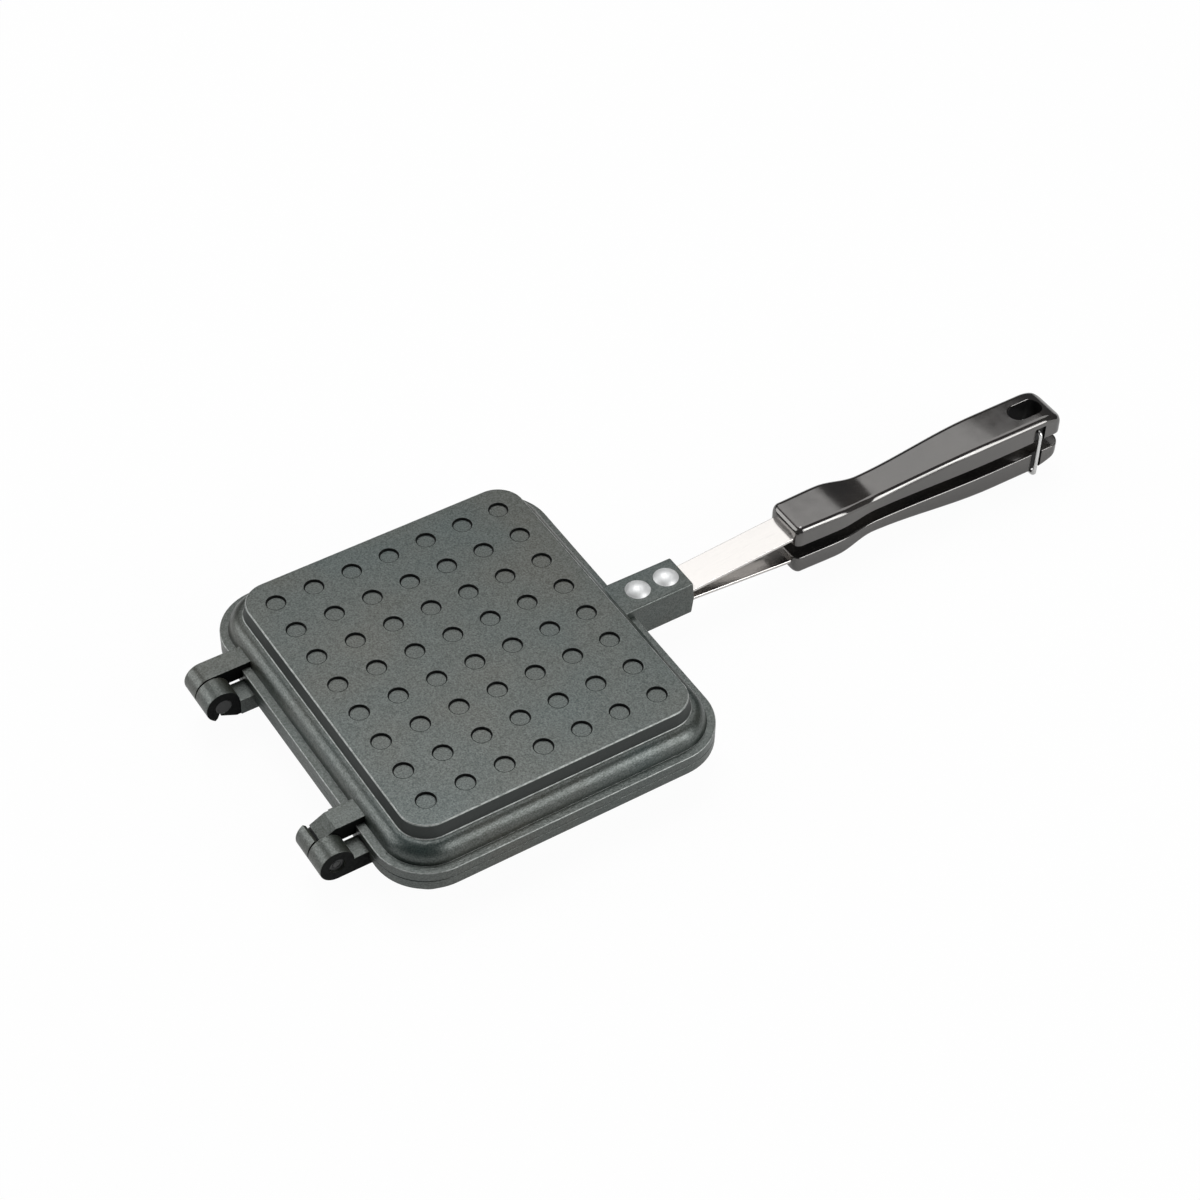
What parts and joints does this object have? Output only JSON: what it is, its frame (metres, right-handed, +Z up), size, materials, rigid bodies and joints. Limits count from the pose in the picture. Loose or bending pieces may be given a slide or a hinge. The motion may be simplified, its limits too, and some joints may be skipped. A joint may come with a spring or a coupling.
{
  "type": "pie iron",
  "caption": "Square direct-fire pie iron: two coated cast plates joined by hook hinges, splayed steel straps, black grips and a wire bail that latches the grips shut.",
  "frame": {"origin": "centre of the lower plate's flat underside", "axes": "+Z up, square to the plates; +X from the hinges to the grips' ends; Y along the hinge pins"},
  "size_m": [0.3759, 0.161, 0.0366],
  "materials": {
    "coated_casting": "cast aluminium under a satin charcoal non-stick coating with a fine sandy grain",
    "hinge_pin": "steel pin, coated dark with the plate",
    "strap_steel": "bright rolled stainless strip",
    "rivet_aluminium": "satin domed rivet",
    "grip_phenolic": "glossy black moulded phenolic",
    "bail_wire": "bright plated spring wire"
  },
  "bodies": {
    "lower_half": {"lower_plate": "coated_casting", "hinge_pin_near": "hinge_pin", "lower_strap": "strap_steel", "lower_rivets": "rivet_aluminium", "lower_grip": "grip_phenolic"},
    "upper_half": {"upper_plate": "coated_casting", "hinge_pin_far": "hinge_pin", "upper_strap": "strap_steel", "upper_rivets": "rivet_aluminium", "upper_grip": "grip_phenolic"},
    "bail": {"bail": "bail_wire"}
  },
  "joints": [
    {"name": "lid_hinge", "type": "hinge", "parent": "lower_half", "child": "upper_half", "pos_m": [-0.08475, 0, 0.0183], "axis": [0, -1, 0], "range_deg": [0, 180]},
    {"name": "bail_swing", "type": "hinge", "parent": "upper_half", "child": "bail", "pos_m": [0.26975, 0, 0.0272], "axis": [0, -1, 0], "range_deg": [0, 250]}
  ]
}
